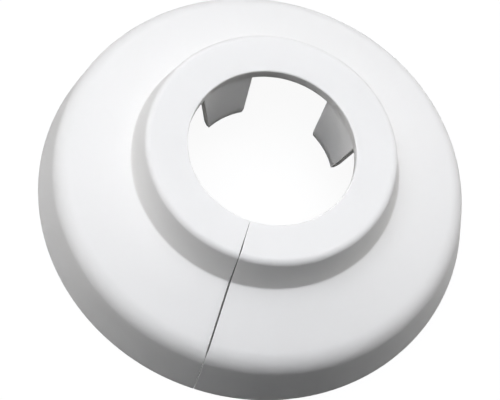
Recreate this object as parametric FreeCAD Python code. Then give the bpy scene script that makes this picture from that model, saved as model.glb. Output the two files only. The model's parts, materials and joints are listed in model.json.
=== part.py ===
import FreeCAD
import Part
import math
import os

# Split pipe collar: one moulded plastic cover that closes the gap around a heating pipe.
# A hollow dome stands on its rim, a boss rises from it, and the pipe passes through the bore.
# Spring tabs hang from the bore lip, and their tips touch the pipe. One slit, from bore to rim
# on the -Y side, lets the collar open around a pipe that is already fitted.
# Millimetres, +Z up along the pipe, origin on the axis in the plane of the rim.

Vector = FreeCAD.Vector

# Pipe and bore
pipe_d = 15.0              # outside diameter of the pipe
grip_clearance = 0.0       # radial gap between the pipe and the tab tips
bore_gap = 1.2             # radial gap between the pipe and the bore lip
bore_edge_round = 0.15     # round where the bore meets the boss top

# Dome and boss
outer_r = 22.5             # radius of the rim, at the foot
height = 13.0              # foot to boss top
wall = 1.3                 # moulded wall, measured square to the surface
rim_draft = 11.1           # degrees that the rim wall leans in from vertical
top_slope = 21.5           # degrees that the dome falls from the boss to the shoulder
shoulder_round = 2.75      # round between the dome and the rim wall
boss_r = 14.1              # radius of the boss at its foot
boss_h = 4.15              # boss foot to boss top
boss_draft = 15.2          # degrees that the boss wall leans in from vertical
boss_round = 0.75          # round along the boss's top edge
boss_root_round = 0.2      # small round in the corner at the boss's foot

# Spring tabs
tab_spread = 47.2          # degrees from the slit plane to the middle of each tab
tab_thick = 0.6            # thickness of the springy part
tab_drop = 5.45            # lip underside to tab tip
tab_root_w = 5.8           # width at the lip
tab_tip_w = 4.1            # width at the tip
tab_corner_round = 0.15    # round at the two corners of the tip
tip_land = 0.7             # length of the round land that touches the pipe
tip_flat = 0.15            # flat left at the end of the tip
tip_chamfer = 1.0          # height of the chamfer on the back of the tip

# Slit
slit_gap = 0.22            # width of the slit

cut_over = 1.0             # how far cutting bodies reach past what they cut

bore_r = pipe_d / 2 + bore_gap
tip_r = pipe_d / 2 + grip_clearance
boss_foot_z = height - boss_h
lip_z = height - wall
tip_z = lip_z - tab_drop


def rise(angle):
    """Direction in the radial half plane, in degrees from the outward radius."""
    return (math.cos(math.radians(angle)), math.sin(math.radians(angle)))


def meet(p, p_dir, q, q_dir):
    """Point where the line through p along p_dir crosses the line through q along q_dir."""
    across = p_dir[0] * q_dir[1] - p_dir[1] * q_dir[0]
    along = ((q[0] - p[0]) * q_dir[1] - (q[1] - p[1]) * q_dir[0]) / across
    return (p[0] + along * p_dir[0], p[1] + along * p_dir[1])


def inset(p, direction, depth):
    """Point p moved by depth to the left of a direction of travel."""
    return (p[0] - direction[1] * depth, p[1] + direction[0] * depth)


def rounded_wire(corners, place):
    """Closed wire through corners given as (point, round), with a tangent arc at each round.

    place turns a flat point into a point in space. A round is limited so that it takes at most
    half of the shorter side next to it.
    """
    count = len(corners)
    entries = []
    for i in range(count):
        point, radius = corners[i]
        before = corners[i - 1][0]
        after = corners[(i + 1) % count][0]
        back = (before[0] - point[0], before[1] - point[1])
        on = (after[0] - point[0], after[1] - point[1])
        back_len = math.hypot(*back)
        on_len = math.hypot(*on)
        u = (back[0] / back_len, back[1] / back_len)
        v = (on[0] / on_len, on[1] / on_len)
        half = math.acos(u[0] * v[0] + u[1] * v[1]) / 2
        reach = min(max(radius, 0.0) / math.tan(half), min(back_len, on_len) / 2)
        start = (point[0] + u[0] * reach, point[1] + u[1] * reach)
        end = (point[0] + v[0] * reach, point[1] + v[1] * reach)
        bow = reach * (1 / math.cos(half) - math.tan(half))
        middle_len = math.hypot(u[0] + v[0], u[1] + v[1])
        middle = (point[0] + (u[0] + v[0]) / middle_len * bow,
                  point[1] + (u[1] + v[1]) / middle_len * bow)
        entries.append((start, middle, end, reach > 0))
    edges = []
    for i in range(count):
        start, middle, end, is_round = entries[i]
        if is_round:
            edges.append(Part.Arc(place(start), place(middle), place(end)).toShape())
        next_start = entries[(i + 1) % count][0]
        edges.append(Part.makeLine(place(end), place(next_start)))
    return Part.Wire(edges)


def in_section(point):
    """Place a (radius, height) point in the X-Z half plane."""
    return Vector(point[0], 0, point[1])


def revolve(corners, start_angle, sweep):
    """Solid of a section turned about the pipe's axis."""
    face = Part.Face(rounded_wire(corners, in_section))
    face.rotate(Vector(0, 0, 0), Vector(0, 0, 1), start_angle)
    return face.revolve(Vector(0, 0, 0), Vector(0, 0, 1), sweep)


def dome_shell():
    """Rim wall, dome, boss and bore lip as one turned shell of even wall."""
    rim_up = rise(90 + rim_draft)
    dome_in = rise(180 - top_slope)
    boss_up = rise(90 + boss_draft)
    inward = rise(180)

    foot = (outer_r, 0)
    boss_foot = (boss_r, boss_foot_z)
    shoulder = meet(foot, rim_up, boss_foot, dome_in)
    boss_edge = meet(boss_foot, boss_up, (bore_r, height), inward)

    rim_line = inset(foot, rim_up, wall)
    dome_line = inset(boss_foot, dome_in, wall)
    boss_line = inset(boss_foot, boss_up, wall)
    inner_foot = meet(rim_line, rim_up, foot, inward)
    inner_shoulder = meet(rim_line, rim_up, dome_line, dome_in)
    inner_boss_foot = meet(dome_line, dome_in, boss_line, boss_up)
    inner_boss_edge = meet(boss_line, boss_up, (bore_r, lip_z), inward)

    corners = [
        (foot, 0),
        (shoulder, shoulder_round),
        (boss_foot, boss_root_round),
        (boss_edge, boss_round),
        ((bore_r, height), bore_edge_round),
        ((bore_r, lip_z), 0),
        (inner_boss_edge, boss_round - wall),
        (inner_boss_foot, boss_root_round + wall),
        (inner_shoulder, shoulder_round - wall),
        (inner_foot, 0),
    ]
    return revolve(corners, 0, 360)


def spring_tab(azimuth):
    """One tab: a leaning strip turned about the axis, trimmed to a tapering width.

    The sides splay outward, close to radial, so the back of the tab is wider than its inner face.
    """
    land_z = tip_z + tip_land
    lean = (bore_r - tip_r, lip_z - land_z)
    lean_len = math.hypot(*lean)
    lean = (lean[0] / lean_len, lean[1] / lean_len)
    back_line = (bore_r + tab_thick * lean[1], lip_z - tab_thick * lean[0])
    back_root = meet(back_line, lean, (bore_r, lip_z), (1, 0))
    back_end = meet(back_line, lean, (tip_r, tip_z + tip_chamfer), (1, 0))
    section = [
        ((bore_r, lip_z), 0),
        ((tip_r, land_z), 0),
        ((tip_r, tip_z), 0),
        ((tip_r + tip_flat, tip_z), 0),
        (back_end, 0),
        (back_root, 0),
        ((back_root[0], lip_z + wall / 2), 0),
    ]
    strip = revolve(section, -90, 180)

    root_turn = math.asin(tab_root_w / 2 / bore_r)
    tip_turn = math.asin(tab_tip_w / 2 / tip_r)
    splay = math.tan((root_turn + tip_turn) / 2)
    root_side = tab_root_w / 2 - bore_r * math.cos(root_turn) * splay
    tip_side = tab_tip_w / 2 - tip_r * math.cos(tip_turn) * splay
    top_z = lip_z + wall
    outline = [
        ((root_side, top_z), 0),
        ((-outer_r, top_z), 0),
        ((-outer_r, tip_z), 0),
        ((tip_side, tip_z), tab_corner_round),
        ((root_side, lip_z), 0),
    ]

    tab = strip
    for side in (-1, 1):

        def across(point):
            return Vector(0, side * point[0], point[1])

        trim = Part.Face(rounded_wire(outline, across))
        tab = tab.common(trim.extrude(Vector(outer_r, side * outer_r * splay, 0)))
    tab.rotate(Vector(0, 0, 0), Vector(0, 0, 1), azimuth)
    return tab


def slit():
    """Cutting body of the slit, from the axis out past the rim on the -Y side."""
    reach = outer_r + cut_over
    return Part.makeBox(slit_gap, reach, height + 2 * cut_over,
                        Vector(-slit_gap / 2, -reach, -cut_over))


os.makedirs("parts", exist_ok=True)

tabs = []
for slit_side in (-90, 90):
    for turn in (-tab_spread, tab_spread):
        tabs.append(spring_tab(slit_side + turn))

collar = dome_shell().fuse(tabs).cut(slit()).removeSplitter()
collar.Solids[0].exportStep("parts/pipe_collar.step")

print("solids", len(collar.Solids), "valid", collar.isValid(), "volume", round(collar.Volume, 2))
print("box", collar.BoundBox)
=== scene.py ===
"""Radiator pipe collar: a moulded split collar with spring tabs, on a plain studio stage."""
import json
import math

import bpy
import numpy as np
from bpy.props import FloatProperty, FloatVectorProperty, PointerProperty
from mathutils import Matrix, Vector


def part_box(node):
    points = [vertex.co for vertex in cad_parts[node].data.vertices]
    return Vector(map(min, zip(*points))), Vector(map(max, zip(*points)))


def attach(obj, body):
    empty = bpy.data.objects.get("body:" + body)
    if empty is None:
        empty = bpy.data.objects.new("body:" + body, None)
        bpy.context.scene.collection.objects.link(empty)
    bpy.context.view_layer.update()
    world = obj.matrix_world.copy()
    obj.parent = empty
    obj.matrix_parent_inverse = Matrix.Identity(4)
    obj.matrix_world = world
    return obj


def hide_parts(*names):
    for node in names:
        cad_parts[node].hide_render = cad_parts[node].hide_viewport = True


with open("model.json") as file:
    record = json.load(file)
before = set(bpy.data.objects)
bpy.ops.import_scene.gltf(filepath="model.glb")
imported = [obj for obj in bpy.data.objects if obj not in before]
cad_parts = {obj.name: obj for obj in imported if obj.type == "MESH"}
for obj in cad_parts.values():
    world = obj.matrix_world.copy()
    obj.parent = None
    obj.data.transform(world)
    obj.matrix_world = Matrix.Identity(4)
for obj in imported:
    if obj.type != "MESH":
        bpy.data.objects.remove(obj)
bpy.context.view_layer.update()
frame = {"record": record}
COLLAR_NODE = "pipe_collar"
FOOT_CORNER, TOP_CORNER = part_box(COLLAR_NODE)

bl_info = {
    "name": "Radiator Pipe Collar",
    "version": (1, 0, 0),
    "blender": (4, 5, 0),
    "location": "View3D > Sidebar > Pipe Collar",
    "description": "Builds a moulded split pipe collar with spring tabs, and a studio stage",
    "category": "Add Mesh",
}

MM = 0.001
PHOTO_WIDTH_PX = 500
SENSOR_WIDTH = 36.0

GRIP = next(mount for mount in frame["record"]["mounts"] if mount["name"] == "pipe_grip")
GRIP_R = GRIP["dims"]["r_mm"] * MM
GRIP_LENGTH = GRIP["dims"]["length_mm"] * MM
TIP_Z = GRIP["pos_m"][2] - GRIP_LENGTH / 2

# Steps along the section: its straight runs and arcs, the nose at the bore's edge, and the five
# runs round a tab.
LINE_STEPS = 8
ARC_STEPS = 14
NOSE_STEPS = 7
TAB_FACE_STEPS = 9
TAB_LAND_STEPS = 8
TAB_TIP_STEPS = 2
TAB_CHAMFER_STEPS = 6
TAB_BACK_STEPS = 7

# Columns about the axis: over the slit's rounded edge, then two at so many edge rounds from the
# slit, then evenly spaced ones from the flank on, and those of each tab.
SLIT_AZIMUTH = -math.pi / 2
SLIT_ROUND_COLUMNS = 6
SLIT_BESIDE = (2.2, 4.5)
SLIT_FLANK = math.radians(3.0)
FREE_STEP = math.radians(1.4)
TAB_COLUMNS = 24
PLAIN, IN_TAB, TAB_TWIN = range(3)

# Share of the shoulder's round, in from the rim, over which the slit closes.
SHOULDER_SHARE = 0.68
SHARP_ANGLE = math.radians(32)

WHITE = "#ffffff"
PLASTIC_IOR = 1.49
FLOW_RANGE = (0.3, 0.7)
ROUGHNESS_SPREAD = 0.03
GRAIN_STRENGTH = 0.08
GRAIN_HEIGHT = 0.02 * MM
CUT_ROUGHNESS = 0.8


def length(name, description, default):
    """A length property in metres."""
    return FloatProperty(name=name, description=description, default=default, min=0.0,
                         precision=5, unit="LENGTH")


def angle(name, description, degrees):
    """An angle property, given in degrees and kept in radians."""
    return FloatProperty(name=name, description=description, default=math.radians(degrees),
                         unit="ROTATION")


def amount(name, description, default):
    """A plain number property."""
    return FloatProperty(name=name, description=description, default=default, min=0.0)


def linear(hex_colour):
    """Linear RGB of an sRGB hex colour, by the sRGB curve on each channel."""
    channels = [int(hex_colour[i:i + 2], 16) / 255 for i in (1, 3, 5)]
    return [c / 12.92 if c <= 0.04045 else ((c + 0.055) / 1.055) ** 2.4 for c in channels]


def colour(name, description, hex_colour):
    """A colour property, given as an sRGB hex value and kept linear."""
    return FloatVectorProperty(name=name, description=description, default=linear(hex_colour),
                               subtype="COLOR", size=3, min=0.0, max=1.0)


class CollarSizes(bpy.types.PropertyGroup):
    """Sizes of the dome, the boss and the bore."""

    outer_r: length("Rim radius", "Radius of the rim at the foot",
                    (TOP_CORNER.x - FOOT_CORNER.x) / 2)
    height: length("Height", "Foot to boss top", TOP_CORNER.z - FOOT_CORNER.z)
    wall: length("Wall", "Moulded wall, square to the surface", 1.3 * MM)
    rim_draft: angle("Rim draft", "Lean of the rim wall from vertical", 11.1)
    foot_round: length("Foot round", "Small round along the foot's edges", 0.12 * MM)
    top_slope: angle("Dome slope", "Fall of the dome from boss to shoulder", 21.5)
    shoulder_round: length("Shoulder round", "Round between the dome and the rim wall", 2.75 * MM)
    boss_r: length("Boss radius", "Radius of the boss at its foot", 13.95 * MM)
    boss_h: length("Boss height", "Boss foot to boss top", 4.09 * MM)
    boss_draft: angle("Boss draft", "Lean of the boss wall from vertical", 14.0)
    boss_round: length("Boss edge round", "Round along the boss's top edge", 0.75 * MM)
    boss_root_round: length("Boss foot round", "Round in the corner at the boss's foot", 0.3 * MM)
    bore_r: length("Bore radius", "Radius of the bore lip", 8.7 * MM)
    bore_edge_round: length("Bore edge round", "Round from the bore to the boss top", 0.15 * MM)


class TabSizes(bpy.types.PropertyGroup):
    """Sizes of the spring tabs that hang from the bore lip."""

    spread: angle("Spread", "Angle from the slit plane to the middle of a tab", 47.2)
    thick: length("Thickness", "Thickness of the springy part", 0.6 * MM)
    root_w: length("Root width", "Width at the lip", 5.8 * MM)
    tip_w: length("Tip width", "Width at the tip", 4.1 * MM)
    corner_round: length("Corner round", "Round at the two corners of the tip", 0.15 * MM)
    tip_r: length("Tip radius", "Radius of the land that touches the pipe", GRIP_R)
    tip_z: length("Tip height", "Height of the tip above the foot", TIP_Z)
    land: length("Land", "Length of the land that touches the pipe", GRIP_LENGTH)
    tip_flat: length("Tip flat", "Flat left at the end of the tip", 0.15 * MM)
    chamfer: length("Tip chamfer", "Height of the chamfer on the tip's back", 1.0 * MM)


class SlitSizes(bpy.types.PropertyGroup):
    """Sizes of the slit: open on the dome, narrow over the boss, all but shut at bore and rim."""

    gap: length("Gap", "Width of the slit on the dome", 0.17 * MM)
    bore_gap: length("Gap at the bore", "Width of the slit where it meets the bore", 0.025 * MM)
    top_gap: length("Gap on the boss", "Width of the slit half way over the boss top", 0.055 * MM)
    ridge_gap: length("Gap at the ridge", "Width of the slit where the boss top starts to curve",
                      0.155 * MM)
    edge_gap: length("Gap at the boss edge", "Width of the slit at the top of the boss wall",
                     0.045 * MM)
    rim_gap: length("Gap at the rim", "Width of the slit along the rim wall", 0.03 * MM)
    inner_gap: length("Inner gap", "Width of the slit at the inner surface", 0.01 * MM)
    edge_round: length("Edge round", "Round along the slit's edges", 0.06 * MM)


class CollarFinish(bpy.types.PropertyGroup):
    """Colours and surface of the plastic, and the grey painted shade of the slit's faces."""

    plastic: colour("Plastic", "White of the moulded plastic", "#f2f0ec")
    shade: colour("Flow shade", "Slightly greyer white of the plastic's flow marks", "#f0eeea")
    # Painted shade: the slit's cut faces are painted a dull grey with paler patches, so the slit
    # reads as a dark line.
    slit_painted_shade: colour("Slit face", "Dull grey of the slit's dusty cut faces", "#8f8d88")
    slit_shade_patches: colour("Slit dust", "Paler grey of the dust on the slit's faces", "#a5a39d")
    slit_shade_patch_size: length("Dust size", "Size of the dust's patches on the slit's faces", 0.6 * MM)
    roughness: amount("Roughness", "Roughness of the satin moulded skin", 0.55)
    gloss: amount("Gloss", "Strength of the skin's reflection, 0.5 for a bare smooth skin", 0.2)
    depth: length("Light depth", "How far light travels inside the white plastic", 0.3 * MM)
    grain: length("Grain", "Size of the fine moulded grain", 0.35 * MM)
    flow: length("Flow marks", "Size of the faint flow marks", 9.0 * MM)


class StageSettings(bpy.types.PropertyGroup):
    """Camera, floor and lamps of the studio stage."""

    azimuth: angle("Camera azimuth", "Direction of the camera about the pipe's axis", -94.05)
    elevation: angle("Camera elevation", "Angle of the camera above the floor", 62.77)
    roll: angle("Camera roll", "Lean of the pipe's axis to the right in the picture", 21.6)
    distance: length("Camera distance", "Camera to the middle of the foot", 0.36)
    focal_px: amount("Focal length", "Focal length in pixels of the picture", 3430.7)
    lift: length("Aim lift", "How far the aim lies above the middle of the foot, in the picture",
                 0.165 * MM)
    side: length("Aim side", "How far the aim lies left of the middle of the foot, in the picture",
                 0.105 * MM)
    floor_size: length("Floor size", "Side of the square floor", 6.0)
    paper: colour("Paper", "Shade of the floor's paper that takes the lamps' light", "#505050")
    paper_glow: amount("Paper glow", "Plain white that the paper has to the eye", 0.94)
    paper_bounce: colour("Paper bounce", "Dim shade by which the paper lights things", "#191919")
    lamp_distance: length("Lamp distance", "Softboxes to the collar", 0.45)
    top_tint: colour("Top tint", "Slightly cool white of the top softbox", "#f5f8ff")
    side_tint: colour("Side tint", "Neutral white of the side softboxes", "#fcfcfe")
    top_azimuth: angle("Top azimuth", "Direction of the top softbox about the axis", 168.0)
    top_elevation: angle("Top elevation", "Height of the top softbox, as an angle", 82.5)
    top_size: length("Top size", "Side of the square top softbox", 0.42)
    top_level: amount("Top level", "Radiance of the top softbox", 3.98)
    side_width: length("Side width", "Width of each side softbox", 0.55)
    side_height: length("Side height", "Height of each side softbox", 0.15)
    left_azimuth: angle("Left azimuth", "Direction of the left softbox about the axis", 179.0)
    left_elevation: angle("Left elevation", "Height of the left softbox, as an angle", 10.5)
    left_level: amount("Left level", "Radiance of the left softbox", 3.55)
    right_azimuth: angle("Right azimuth", "Direction of the right softbox about the axis", 40.0)
    right_elevation: angle("Right elevation", "Height of the right softbox, as an angle", 16.0)
    right_level: amount("Right level", "Radiance of the right softbox", 3.5)
    ambient: amount("Ambient", "Level of the even light from all round", 0.01)


def line_meet(p, p_dir, q, q_dir):
    """Crossing of two lines in the section: solve p + a p_dir = q + b q_dir."""
    a, _ = np.linalg.solve(np.stack([p_dir, -np.asarray(q_dir)], 1), np.subtract(q, p))
    return np.asarray(p) + a * np.asarray(p_dir)


def heading(turn):
    """Unit direction in the section, by its turn from the outward radius, in radians."""
    return np.array([math.cos(turn), math.sin(turn)])


def inset(p, direction, depth):
    """Point moved square to a direction of travel, to its left."""
    return np.asarray(p) + depth * np.array([-direction[1], direction[0]])


def rounded_path(start, corners, end):
    """Open path through corners given as (point, round), each round a tangent arc.

    Each straight run is divided evenly into LINE_STEPS. An arc runs between the points where it
    touches its two sides, evenly in angle about the centre that lies one radius from both, in
    ARC_STEPS.
    """
    points = [start, *(point for point, _ in corners), end]
    runs = []
    run_start = start
    for i, (point, radius) in enumerate(corners, 1):
        back = points[i - 1] - point
        on = points[i + 1] - point
        u = back / np.linalg.norm(back)
        v = on / np.linalg.norm(on)
        half = math.acos(float(u @ v)) / 2
        reach = radius / math.tan(half)
        touch_in = point + u * reach
        touch_out = point + v * reach
        bisector = (u + v) / np.linalg.norm(u + v)
        centre = point + bisector * radius / math.sin(half)
        along = np.linspace(0, 1, LINE_STEPS, endpoint=False)[:, None]
        runs.append(run_start + (touch_in - run_start) * along)
        turn = np.linspace(-1, 1, ARC_STEPS, endpoint=False)[:, None] * (math.pi / 2 - half)
        side = np.array([-bisector[1], bisector[0]])
        side = side * np.sign(side @ (touch_out - touch_in))
        runs.append(centre + radius * (np.sin(turn) * side - np.cos(turn) * bisector))
        run_start = touch_out
    along = np.linspace(0, 1, LINE_STEPS + 1)[:, None]
    runs.append(run_start + (end - run_start) * along)
    return np.concatenate(runs)


def tab_outline(sizes, tabs, lip_z):
    """Section of a tab from the bore lip round its tip and back up to the lip's underside.

    Straight runs: down the leaning inner face, down the land, across the tip, up the chamfer and
    up the back, which is the inner face moved out by the tab's thickness. Points on the land and
    the chamfer gather towards the tip, as the square of their share of the run.
    """
    root = np.array([sizes.bore_r, lip_z])
    land_top = np.array([tabs.tip_r, tabs.tip_z + tabs.land])
    lean = (root - land_top) / np.linalg.norm(root - land_top)
    back_point = root + tabs.thick * np.array([lean[1], -lean[0]])
    back_root = line_meet(back_point, lean, root, (1, 0))
    back_end = line_meet(back_point, lean, (0, tabs.tip_z + tabs.chamfer), (1, 0))
    tip = np.array([tabs.tip_r, tabs.tip_z])
    tip_back = tip + np.array([tabs.tip_flat, 0])
    gather_down = 1 - np.linspace(1, 0, TAB_LAND_STEPS, endpoint=False) ** 2
    gather_up = np.linspace(0, 1, TAB_CHAMFER_STEPS, endpoint=False) ** 2
    runs = [
        (root, land_top, np.linspace(0, 1, TAB_FACE_STEPS, endpoint=False)),
        (land_top, tip, gather_down),
        (tip, tip_back, np.linspace(0, 1, TAB_TIP_STEPS, endpoint=False)),
        (tip_back, back_end, gather_up),
        (back_end, back_root, np.linspace(0, 1, TAB_BACK_STEPS)),
    ]
    return np.concatenate([p + (q - p) * share[:, None] for p, q, share in runs])


def section_paths(sizes, tabs):
    """Outer path, nose, tab and inner path of the collar's wall, as (radius, height) points.

    The outer path climbs from the middle of the foot over the shoulder and the boss to the bore's
    edge. The inner path is the same set of lines moved in by the wall. Both have as many points,
    in pairs across the wall. The nose runs round the bore's edge down to the lip's corner.
    """
    rim_up = heading(math.pi / 2 + sizes.rim_draft)
    dome_in = heading(math.pi - sizes.top_slope)
    boss_up = heading(math.pi / 2 + sizes.boss_draft)
    inward = heading(math.pi)
    lip_z = sizes.height - sizes.wall

    foot = np.array([sizes.outer_r, 0.0])
    boss_foot = np.array([sizes.boss_r, sizes.height - sizes.boss_h])
    bore_top = np.array([sizes.bore_r, sizes.height])
    shoulder = line_meet(foot, rim_up, boss_foot, dome_in)
    boss_edge = line_meet(boss_foot, boss_up, bore_top, inward)

    rim_line = inset(foot, rim_up, sizes.wall)
    dome_line = inset(boss_foot, dome_in, sizes.wall)
    boss_line = inset(boss_foot, boss_up, sizes.wall)
    inner_foot = line_meet(rim_line, rim_up, foot, inward)
    inner_shoulder = line_meet(rim_line, rim_up, dome_line, dome_in)
    inner_boss_foot = line_meet(dome_line, dome_in, boss_line, boss_up)
    inner_boss_edge = line_meet(boss_line, boss_up, (0, lip_z), inward)

    tab = tab_outline(sizes, tabs, lip_z)
    foot_middle = (foot + inner_foot) / 2
    nose_start = bore_top + np.array([sizes.bore_edge_round, 0])
    outer = rounded_path(
        foot_middle,
        [(foot, sizes.foot_round), (shoulder, sizes.shoulder_round),
         (boss_foot, sizes.boss_root_round), (boss_edge, sizes.boss_round)],
        nose_start)
    inner = rounded_path(
        foot_middle,
        [(inner_foot, sizes.foot_round), (inner_shoulder, sizes.shoulder_round - sizes.wall),
         (inner_boss_foot, sizes.boss_root_round + sizes.wall),
         (inner_boss_edge, max(sizes.boss_round - sizes.wall, sizes.foot_round))],
        tab[-1])
    quarter = np.linspace(0, math.pi / 2, NOSE_STEPS)[1:, None]
    nose_centre = bore_top + sizes.bore_edge_round * np.array([1, -1])
    edge = nose_centre + sizes.bore_edge_round * np.concatenate(
        [-np.sin(quarter), np.cos(quarter)], 1)
    bore_wall = edge[-1] + (tab[0] - edge[-1]) * np.linspace(0, 1, NOSE_STEPS)[1:-1, None]
    nose = np.concatenate([edge, bore_wall])
    return outer, nose, tab, inner


def path_normals(loop):
    """Outward unit normals of a closed section: its tangent, turned right by a quarter."""
    tangent = np.roll(loop, -1, 0) - np.roll(loop, 1, 0)
    normal = np.stack([tangent[:, 1], -tangent[:, 0]], 1)
    return normal / np.linalg.norm(normal, axis=1)[:, None]


def root_half_angle(sizes, tabs):
    """Half angle that a tab's root takes about the axis: arcsin(half width / bore radius)."""
    return math.asin(tabs.root_w / 2 / sizes.bore_r)


def tab_half_angle(sizes, tabs, z, lip_z):
    """Half angle that a tab takes about the axis at a height, so its sides are radial.

    The half width tapers straight from root to tip, and within one corner round of the tip it
    shrinks as a quarter circle does. The angle is arcsin(half width / radius of the inner face).
    """
    share = (z - tabs.tip_z) / (lip_z - tabs.tip_z)
    straight = (tabs.tip_w + (tabs.root_w - tabs.tip_w) * share) / 2
    short = np.clip(tabs.corner_round - (z - tabs.tip_z), 0, tabs.corner_round)
    half_width = straight - (tabs.corner_round - np.sqrt(tabs.corner_round ** 2 - short ** 2))
    land_top = tabs.tip_z + tabs.land
    lean = np.clip((z - land_top) / (lip_z - land_top), 0, 1)
    return np.arcsin(half_width / (tabs.tip_r + (sizes.bore_r - tabs.tip_r) * lean))


def column_plan(sizes, tabs, slit):
    """Azimuths of the columns and what each one is.

    Columns near the slit lie at set distances from its faces. A tab takes evenly spaced columns,
    and a doubled one at each side, where the wall steps from the plain lip down to the tab.
    Returns base azimuths, distance to the slit (or nan), tab centre (or nan) and kind, where a
    TAB_TWIN is the plain twin at a tab's side.
    """
    turn = np.linspace(0, math.pi / 2, SLIT_ROUND_COLUMNS)
    near = slit.edge_round * np.concatenate([1 - np.cos(turn), SLIT_BESIDE])
    half = root_half_angle(sizes, tabs)
    far_azimuth = SLIT_AZIMUTH + math.pi
    end_azimuth = SLIT_AZIMUTH + 2 * math.pi
    blocks = []

    def add(azimuth, distance=np.nan, centre=np.nan, kind=PLAIN):
        """Take in columns, each value either one for all of them or one for each."""
        values = np.broadcast_arrays(np.atleast_1d(azimuth), distance, centre, kind)
        blocks.append(np.stack(values))

    add(SLIT_AZIMUTH, distance=near)
    at = SLIT_AZIMUTH + SLIT_FLANK
    for centre in (SLIT_AZIMUTH + tabs.spread, far_azimuth - tabs.spread,
                   far_azimuth + tabs.spread, end_azimuth - tabs.spread):
        steps = max(2, round((centre - half - at) / FREE_STEP))
        add(np.linspace(at, centre - half, steps, endpoint=False))
        add(centre - half, centre=centre, kind=TAB_TWIN)
        add(centre + half * np.linspace(-1, 1, TAB_COLUMNS), centre=centre, kind=IN_TAB)
        add(centre + half, centre=centre, kind=TAB_TWIN)
        at = centre + half + FREE_STEP
    last = end_azimuth - SLIT_FLANK
    add(np.linspace(at, last, max(2, round((last - at) / FREE_STEP))))
    add(end_azimuth, distance=near[::-1])
    return np.concatenate(blocks, 1)


def slit_widths(sizes, slit, outer):
    """Width of the slit along the outer path, changing straight between set radii."""
    boss_edge_r = sizes.boss_r - sizes.boss_h * math.tan(sizes.boss_draft)
    widths = {
        sizes.bore_r: slit.bore_gap,
        (sizes.bore_r + boss_edge_r) / 2: slit.top_gap,
        boss_edge_r - sizes.boss_round: slit.ridge_gap,
        boss_edge_r: slit.edge_gap,
        sizes.boss_r: slit.gap,
        outer[:, 0].max() - SHOULDER_SHARE * sizes.shoulder_round: slit.gap,
        sizes.outer_r - sizes.wall: slit.rim_gap,
    }
    return np.interp(outer[:, 0], list(widths), list(widths.values()))


def collar_faces(kind, is_own_row, outer_count, inner_count, tab_end):
    """Faces by vertex number, which is row x columns + column, and where the slit's faces begin.

    Four neighbours make a quad, and the rows close round the section. Outside a tab's own rows,
    its side column takes its twin's vertices, so the strip between them shuts, and a quad with
    one side shut is a triangle. The slit's faces close both ends of the turn: quads across the
    wall from the outer path to the inner one, a triangle at the foot, where both paths start, and
    one polygon round the nose and along the lip.
    """
    rows, columns = len(is_own_row), len(kind)
    own = np.arange(columns)
    partner = own.copy()
    partner[1:][(kind[1:] == IN_TAB) & (kind[:-1] == TAB_TWIN)] -= 1
    partner[:-1][(kind[:-1] == IN_TAB) & (kind[1:] == TAB_TWIN)] += 1
    ids = np.arange(rows)[:, None] * columns + np.where(is_own_row[:, None], own, partner)

    below = np.roll(ids, -1, 0)
    quads = np.stack([ids[:, :-1], ids[:, 1:], below[:, 1:], below[:, :-1]], -1).reshape(-1, 4)
    top_shut = quads[:, 0] == quads[:, 1]
    low_shut = quads[:, 2] == quads[:, 3]
    triangles = np.concatenate([quads[top_shut & ~low_shut][:, 1:],
                                quads[~top_shut & low_shut][:, :3]])
    quads = quads[~top_shut & ~low_shut]

    outer_rows = np.arange(outer_count)
    inner_rows = np.concatenate([[0], rows - np.arange(1, inner_count - 1), [tab_end]])
    wall_rows = np.stack([outer_rows[:-1], outer_rows[1:], inner_rows[1:], inner_rows[:-1]], 1)
    nose_rows = np.arange(outer_count - 1, tab_end + 1)
    start, end = ids[:, 0], ids[:, -1]
    slit_quads = np.concatenate([start[wall_rows[1:]], end[wall_rows[1:, ::-1]]])
    slit_triangles = np.concatenate([start[wall_rows[:1, :3]], end[wall_rows[:1, 2::-1]]])
    slit_ends = [start[nose_rows].tolist(), end[nose_rows[::-1]].tolist()]

    faces = quads.tolist() + triangles.tolist()
    slit_from = len(faces)
    faces += slit_quads.tolist() + slit_triangles.tolist() + slit_ends
    return faces, slit_from


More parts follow.
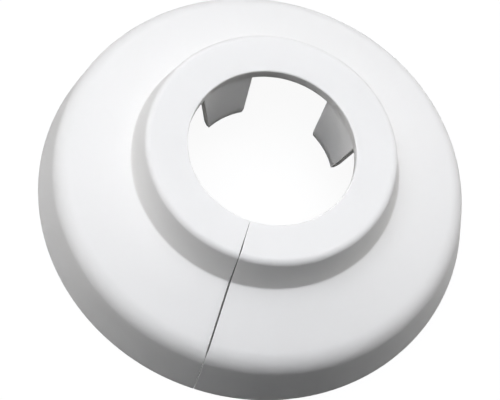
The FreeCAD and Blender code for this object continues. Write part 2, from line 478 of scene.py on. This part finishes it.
def collar_mesh(sizes, tabs, slit):
    """Vertices, faces and the first slit face, of the whole collar as one closed surface.

    The wall's closed section is carried round the axis in columns: x = r cos a, y = r sin a.
    Beside the slit, a column keeps a set distance from the slit's plane, so its azimuth follows
    from arcsin(distance / r), and it sinks along the normal as a quarter circle to round the edge.
    Rows of the tab run along the lip's underside in plain columns. Inside a tab they follow the
    tab's outline, each at a share of the tab's half angle at that height.
    """
    lip_z = sizes.height - sizes.wall
    outer, nose, tab, inner = section_paths(sizes, tabs)
    flat = np.stack([np.linspace(tab[0, 0], tab[-1, 0], len(tab)), np.full(len(tab), lip_z)], 1)
    inner_back = inner[-2:0:-1]
    plain = np.concatenate([outer, nose, flat, inner_back])
    tabbed = np.concatenate([outer, nose, tab, inner_back])
    row = np.arange(len(plain))
    tab_from = len(outer) + len(nose)
    tab_end = tab_from + len(tab) - 1
    is_tab_row = (row >= tab_from) & (row <= tab_end)
    is_own_row = (row > tab_from) & (row < tab_end)

    gap = np.full(len(plain), slit.inner_gap)
    gap[:len(outer)] = slit_widths(sizes, slit, outer)
    gap[len(outer):tab_from] = slit.bore_gap

    azimuth, slit_distance, centre, kind = column_plan(sizes, tabs, slit)
    is_slit_column = ~np.isnan(slit_distance)
    is_tab_column = kind == IN_TAB
    r = np.where(is_tab_column, tabbed[:, :1], plain[:, :1])
    z = np.where(is_tab_column, tabbed[:, 1:], plain[:, 1:])

    side = np.where(azimuth > math.pi, -1.0, 1.0)
    off = np.nan_to_num(slit_distance)
    sink = slit.edge_round - np.sqrt(np.clip(
        slit.edge_round ** 2 - np.clip(slit.edge_round - off, 0, None) ** 2, 0, None))
    sink = np.where(is_slit_column, sink, 0.0)
    normals = path_normals(plain)
    r = r - normals[:, :1] * sink
    z = z - normals[:, 1:] * sink
    beside = side * np.arcsin((gap[:, None] / 2 + off) / r)
    a = np.where(is_slit_column, azimuth + beside, azimuth)

    share = (azimuth - centre) / root_half_angle(sizes, tabs)
    half_angle = tab_half_angle(sizes, tabs, np.clip(z, tabs.tip_z, lip_z), lip_z)
    a = np.where(is_tab_row[:, None] & is_tab_column, centre + share * half_angle, a)

    vertices = np.stack([r * np.cos(a), r * np.sin(a), z], -1).reshape(-1, 3)
    faces, slit_from = collar_faces(kind, is_own_row, len(outer), len(inner), tab_end)
    return vertices, faces, slit_from


def mesh_object(name, vertices, faces):
    """New object at the origin from whole arrays, with loose vertices left out."""
    used, flat_ids = np.unique(np.concatenate([np.asarray(f) for f in faces]),
                               return_inverse=True)
    counts = np.cumsum([len(f) for f in faces])[:-1]
    mesh = bpy.data.meshes.new(name)
    mesh.from_pydata(vertices[used].tolist(), [], [f.tolist() for f in np.split(flat_ids, counts)])
    mesh.validate()
    obj = bpy.data.objects.new(name, mesh)
    bpy.context.scene.collection.objects.link(obj)
    return obj


def add_node(tree, kind, inputs=None, **settings):
    """Add one node: settings are its attributes, inputs are values or sockets to link from."""
    node = tree.nodes.new(kind)
    for key, value in settings.items():
        setattr(node, key, value)
    for key, value in (inputs or {}).items():
        if isinstance(value, bpy.types.NodeSocket):
            tree.links.new(value, node.inputs[key])
        else:
            node.inputs[key].default_value = value
    return node


def new_material(name):
    """Empty node material and its tree."""
    material = bpy.data.materials.new(name)
    material.use_nodes = True
    material.node_tree.nodes.clear()
    return material, material.node_tree


def rgba(colour_value):
    """Colour with full cover."""
    return (*colour_value, 1.0)


def moulded_polypropylene(finish):
    """White polypropylene, injection moulded in a fine satin tool.

    To the eye: an even white, a hair warm, with a soft broad sheen, a grain just fine enough to
    break up reflections, and faint flow marks where the melt cooled unevenly. The real grain is
    too fine to show in the picture, so it is drawn a few times coarser.
    """
    material, tree = new_material("moulded polypropylene, satin white")
    place = add_node(tree, "ShaderNodeTexCoord").outputs["Object"]
    flow = add_node(tree, "ShaderNodeTexNoise",
                    {"Vector": place, "Scale": 1 / finish.flow, "Detail": 3.0, "Roughness": 0.5})
    grain = add_node(tree, "ShaderNodeTexNoise",
                     {"Vector": place, "Scale": 1 / finish.grain, "Detail": 2.0, "Roughness": 0.6})
    white = add_node(tree, "ShaderNodeMix",
                     {"Factor": flow.outputs["Fac"], "A": rgba(finish.plastic),
                      "B": rgba(finish.shade)}, data_type="RGBA")
    rough = add_node(tree, "ShaderNodeMapRange",
                     {"Value": flow.outputs["Fac"],
                      "From Min": FLOW_RANGE[0], "From Max": FLOW_RANGE[1],
                      "To Min": finish.roughness - ROUGHNESS_SPREAD,
                      "To Max": finish.roughness + ROUGHNESS_SPREAD})
    bump = add_node(tree, "ShaderNodeBump",
                    {"Height": grain.outputs["Fac"], "Strength": GRAIN_STRENGTH,
                     "Distance": GRAIN_HEIGHT})
    shader = add_node(tree, "ShaderNodeBsdfPrincipled",
                      {"Base Color": white.outputs["Result"], "Roughness": rough.outputs["Result"],
                       "IOR": PLASTIC_IOR, "Specular IOR Level": finish.gloss,
                       "Normal": bump.outputs["Normal"],
                       "Subsurface Weight": 1.0, "Subsurface Radius": (1.0, 1.0, 1.0),
                       "Subsurface Scale": finish.depth},
                      subsurface_method="BURLEY")
    add_node(tree, "ShaderNodeOutputMaterial", {"Surface": shader.outputs["BSDF"]})
    return material


def slit_painted_shade_material(finish):
    """Cut polypropylene inside the slit, painted a dull grey with paler patches: painted shade.

    To the eye: a thin dark line, because the faces are a hair apart; the painted grey stands
    in for the shade between them.
    """
    material, tree = new_material("cut polypropylene, dusty")
    place = add_node(tree, "ShaderNodeTexCoord").outputs["Object"]
    patches = add_node(tree, "ShaderNodeTexNoise",
                       {"Vector": place, "Scale": 1 / finish.slit_shade_patch_size, "Detail": 2.0})
    # Painted shade: two greys mixed by the patches.
    grey = add_node(tree, "ShaderNodeMix",
                    {"Factor": patches.outputs["Fac"], "A": rgba(finish.slit_painted_shade),
                     "B": rgba(finish.slit_shade_patches)}, data_type="RGBA")
    shader = add_node(tree, "ShaderNodeBsdfPrincipled",
                      {"Base Color": grey.outputs["Result"], "Roughness": CUT_ROUGHNESS,
                       "IOR": PLASTIC_IOR})
    add_node(tree, "ShaderNodeOutputMaterial", {"Surface": shader.outputs["BSDF"]})
    return material


class PIPECOLLAR_OT_make_collar(bpy.types.Operator):
    """Build the moulded collar with its tabs and slit, in place of the CAD solid"""

    bl_idname = "pipe_collar.make_collar"
    bl_label = "Make Collar"

    def execute(self, context):
        scene = context.scene
        vertices, faces, slit_from = collar_mesh(
            scene.collar_sizes, scene.collar_tabs, scene.collar_slit)
        collar = mesh_object("moulded_collar", vertices, faces)
        mesh = collar.data
        mesh.materials.append(moulded_polypropylene(scene.collar_finish))
        # Second slot: the slit's faces, painted grey as painted shade.
        mesh.materials.append(slit_painted_shade_material(scene.collar_finish))
        slot_of = (np.arange(len(mesh.polygons)) >= slit_from).astype(np.int32)
        mesh.polygons.foreach_set("material_index", slot_of)
        mesh.shade_smooth()
        mesh.set_sharp_from_angle(angle=SHARP_ANGLE)
        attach(collar, "root")
        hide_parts(COLLAR_NODE)
        return {"FINISHED"}


def seen_directly(tree):
    """1 for the plain white studio as the eye sees it, also in a gloss, and 0 for other light."""
    path = add_node(tree, "ShaderNodeLightPath").outputs
    gloss = add_node(tree, "ShaderNodeMath", {0: path["Is Glossy Ray"],
                                              1: path["Is Transmission Ray"]}, operation="MAXIMUM")
    seen = add_node(tree, "ShaderNodeMath", {0: path["Is Camera Ray"], 1: gloss.outputs[0]},
                    operation="MAXIMUM")
    return seen.outputs[0]


def paper_sweep(stage):
    """White paper sweep, matt and uncoated.

    To the eye: plain white with a faint shadow. As a reflector it is dim, so that the collar's
    rim and hollow keep their shade.
    """
    material, tree = new_material("white paper sweep")
    paper = add_node(tree, "ShaderNodeBsdfDiffuse", {"Color": rgba(stage.paper)})
    glow = add_node(tree, "ShaderNodeEmission",
                    {"Color": rgba(linear(WHITE)), "Strength": stage.paper_glow})
    page = add_node(tree, "ShaderNodeAddShader", {0: paper.outputs[0], 1: glow.outputs[0]})
    dim = add_node(tree, "ShaderNodeBsdfDiffuse", {"Color": rgba(stage.paper_bounce)})
    mix = add_node(tree, "ShaderNodeMixShader", {0: seen_directly(tree), 1: dim.outputs[0],
                                                 2: page.outputs[0]})
    add_node(tree, "ShaderNodeOutputMaterial", {"Surface": mix.outputs[0]})
    return material


def studio_world(ambient):
    """Even dim light from all round, and plain white where it is seen directly."""
    world = bpy.data.worlds.new("studio")
    world.use_nodes = True
    tree = world.node_tree
    tree.nodes.clear()
    white = rgba(linear(WHITE))
    dim = add_node(tree, "ShaderNodeBackground", {"Color": white, "Strength": ambient})
    bright = add_node(tree, "ShaderNodeBackground", {"Color": white, "Strength": 1.0})
    mix = add_node(tree, "ShaderNodeMixShader", {0: seen_directly(tree), 1: dim.outputs[0],
                                                 2: bright.outputs[0]})
    add_node(tree, "ShaderNodeOutputWorld", {"Surface": mix.outputs[0]})
    return world


def toward(azimuth, elevation):
    """Unit direction by azimuth about the axis and elevation above the floor."""
    return Vector((math.cos(azimuth) * math.cos(elevation),
                   math.sin(azimuth) * math.cos(elevation), math.sin(elevation)))


def softbox(name, tint, azimuth, elevation, distance, width, height, radiance):
    """Area lamp that faces the collar; power = radiance x area x pi gives that radiance."""
    lamp = bpy.data.lights.new(name, "AREA")
    lamp.color = tint
    lamp.shape = "RECTANGLE"
    lamp.size = width
    lamp.size_y = height
    lamp.energy = radiance * width * height * math.pi
    obj = bpy.data.objects.new(name, lamp)
    direction = toward(azimuth, elevation)
    obj.location = direction * distance
    obj.rotation_euler = direction.to_track_quat("Z", "Y").to_euler()
    bpy.context.scene.collection.objects.link(obj)


def photo_camera(stage):
    """Camera at the photograph's place, aimed at the foot's middle and rolled about its view."""
    camera = bpy.data.cameras.new("photo_camera")
    camera.sensor_width = SENSOR_WIDTH
    camera.lens = stage.focal_px * SENSOR_WIDTH / PHOTO_WIDTH_PX
    obj = bpy.data.objects.new("photo_camera", camera)
    back = toward(stage.azimuth, stage.elevation)
    turn = back.to_track_quat("Z", "Y").to_matrix() @ Matrix.Rotation(stage.roll, 3, "Z")
    aim = turn @ Vector((-stage.side, stage.lift, 0))
    obj.matrix_world = Matrix.Translation(back * stage.distance + aim) @ turn.to_4x4()
    bpy.context.scene.collection.objects.link(obj)
    return obj


class PIPECOLLAR_OT_make_stage(bpy.types.Operator):
    """Build the floor, the lamps, the white surround and the photograph's camera"""

    bl_idname = "pipe_collar.make_stage"
    bl_label = "Make Stage"

    def execute(self, context):
        scene = context.scene
        stage = scene.collar_stage
        half = stage.floor_size / 2
        corners = half * np.array([[-1, -1, 0], [1, -1, 0], [1, 1, 0], [-1, 1, 0]])
        floor = mesh_object("studio_floor", corners, [[0, 1, 2, 3]])
        floor.data.materials.append(paper_sweep(stage))
        softbox("top_softbox", stage.top_tint, stage.top_azimuth, stage.top_elevation,
                stage.lamp_distance, stage.top_size, stage.top_size, stage.top_level)
        softbox("left_softbox", stage.side_tint, stage.left_azimuth, stage.left_elevation,
                stage.lamp_distance, stage.side_width, stage.side_height, stage.left_level)
        softbox("right_softbox", stage.side_tint, stage.right_azimuth, stage.right_elevation,
                stage.lamp_distance, stage.side_width, stage.side_height, stage.right_level)
        scene.world = studio_world(stage.ambient)
        scene.camera = photo_camera(stage)
        scene.view_settings.view_transform = "Standard"
        return {"FINISHED"}


class VIEW3D_PT_pipe_collar(bpy.types.Panel):
    """Sidebar panel with the collar's sizes and the two builders"""

    bl_label = "Pipe Collar"
    bl_space_type = "VIEW_3D"
    bl_region_type = "UI"
    bl_category = "Pipe Collar"

    def draw(self, context):
        for group in GROUPS:
            settings = getattr(context.scene, group)
            for key in settings.__annotations__:
                self.layout.prop(settings, key)
        for operator in OPERATORS:
            self.layout.operator(operator.bl_idname)


GROUPS = {
    "collar_sizes": CollarSizes,
    "collar_tabs": TabSizes,
    "collar_slit": SlitSizes,
    "collar_finish": CollarFinish,
    "collar_stage": StageSettings,
}
OPERATORS = (PIPECOLLAR_OT_make_collar, PIPECOLLAR_OT_make_stage)
CLASSES = (*GROUPS.values(), *OPERATORS, VIEW3D_PT_pipe_collar)


def register():
    """Register the classes and hang the settings on the scene."""
    for cls in CLASSES:
        bpy.utils.register_class(cls)
    for group, cls in GROUPS.items():
        setattr(bpy.types.Scene, group, PointerProperty(type=cls))


def unregister():
    """Take the settings off the scene and drop the classes, last first."""
    for group in GROUPS:
        delattr(bpy.types.Scene, group)
    for cls in reversed(CLASSES):
        bpy.utils.unregister_class(cls)


def main():
    register()
    bpy.ops.pipe_collar.make_collar()
    bpy.ops.pipe_collar.make_stage()


if __name__ == "__main__":
    main()
